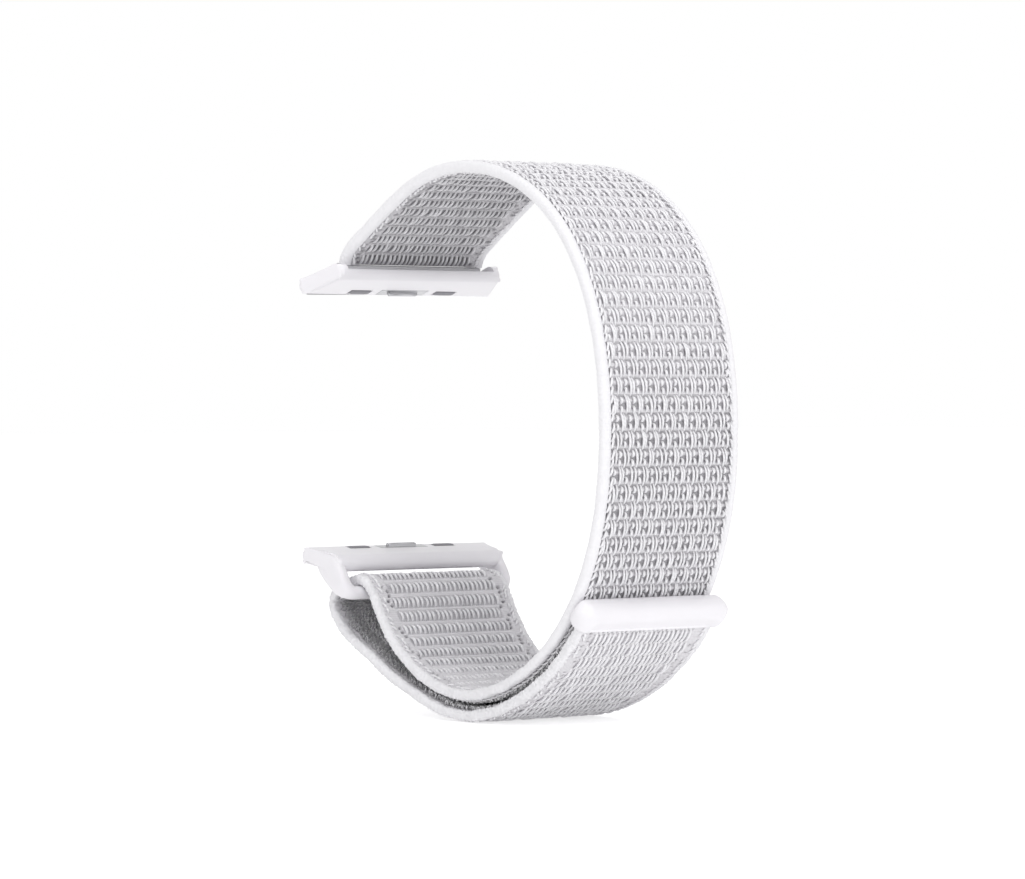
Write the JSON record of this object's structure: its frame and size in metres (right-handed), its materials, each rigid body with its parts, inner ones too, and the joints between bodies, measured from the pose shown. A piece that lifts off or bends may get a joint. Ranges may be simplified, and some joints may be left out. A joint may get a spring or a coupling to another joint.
{
  "type": "nylon watch strap",
  "caption": "Woven nylon loop strap with a moulded lug at each end, a ring that the webbing folds back through, a peeling tail and a moulded pull tab.",
  "frame": {"origin": "middle of the upper lug", "axes": "+X across the strap, +Y from the lugs into the loop, +Z from the lower lug to the upper lug"},
  "size_m": [0.033, 0.0607, 0.076],
  "materials": {
    "lug_moulding": "satin moulded nylon, pale grey",
    "tab_moulding": "fine satin moulding, off white",
    "nylon_weave": "coarse double-layer weave of white yarn with loop pile inside",
    "nylon_selvedge": "smooth rolled edge of fine white yarn",
    "hook_tape": "moulded nylon hooks",
    "stainless_steel": "ground and brushed",
    "silicone_pad": "matt"
  },
  "bodies": {
    "upper_lug": {"upper_lug_body": "lug_moulding", "upper_lug_pin": "stainless_steel", "upper_latch_spring": "stainless_steel", "upper_latch_retainer": "stainless_steel", "upper_left_friction_pad": "silicone_pad", "upper_right_friction_pad": "silicone_pad"},
    "upper_plunger": {"upper_latch_plunger": "stainless_steel"},
    "band": {"end_loop": "nylon_weave", "main_webbing": "nylon_weave", "main_left_edge": "nylon_selvedge", "main_right_edge": "nylon_selvedge"},
    "lower_lug": {"lower_lug_body": "lug_moulding", "lower_latch_spring": "stainless_steel", "lower_latch_retainer": "stainless_steel", "lower_left_friction_pad": "silicone_pad", "lower_right_friction_pad": "silicone_pad"},
    "lower_plunger": {"lower_latch_plunger": "stainless_steel"},
    "tail": {"tail_webbing": "nylon_weave", "tail_left_edge": "nylon_selvedge", "tail_right_edge": "nylon_selvedge"},
    "tip": {"tip_webbing": "nylon_weave", "tip_left_edge": "nylon_selvedge", "tip_right_edge": "nylon_selvedge", "hook_patch": "hook_tape", "pull_tab": "tab_moulding"}
  },
  "joints": [
    {"name": "band_swing", "type": "hinge", "parent": "upper_lug", "child": "band", "pos_m": [0, 0.00037, 0.00029], "axis": [1, 0, 0], "range_deg": [-28, 30]},
    {"name": "lower_lug_swing", "type": "hinge", "parent": "band", "child": "lower_lug", "pos_m": [0, 0.0046, -0.0437], "axis": [1, 0, 0], "range_deg": [-45, 15]},
    {"name": "tail_lift", "type": "hinge", "parent": "band", "child": "tail", "pos_m": [0, 0.00145, -0.05051], "axis": [-1, 0, 0], "range_deg": [0, 60]},
    {"name": "tip_peel", "type": "hinge", "parent": "tail", "child": "tip", "pos_m": [0, 0.03453, -0.05924], "axis": [-1, 0, 0], "range_deg": [0, 75]},
    {"name": "upper_latch_press", "type": "slide", "parent": "upper_lug", "child": "upper_plunger", "axis": [0, -0.342, 0.9397], "range_m": [0, 0.0004], "stiffness_N_per_m": 300, "springref_m": -0.001, "deforming": ["upper_latch_spring"]},
    {"name": "lower_latch_press", "type": "slide", "parent": "lower_lug", "child": "lower_plunger", "axis": [0, -0.1736, -0.9848], "range_m": [0, 0.0004], "stiffness_N_per_m": 300, "springref_m": -0.001, "deforming": ["lower_latch_spring"]}
  ]
}
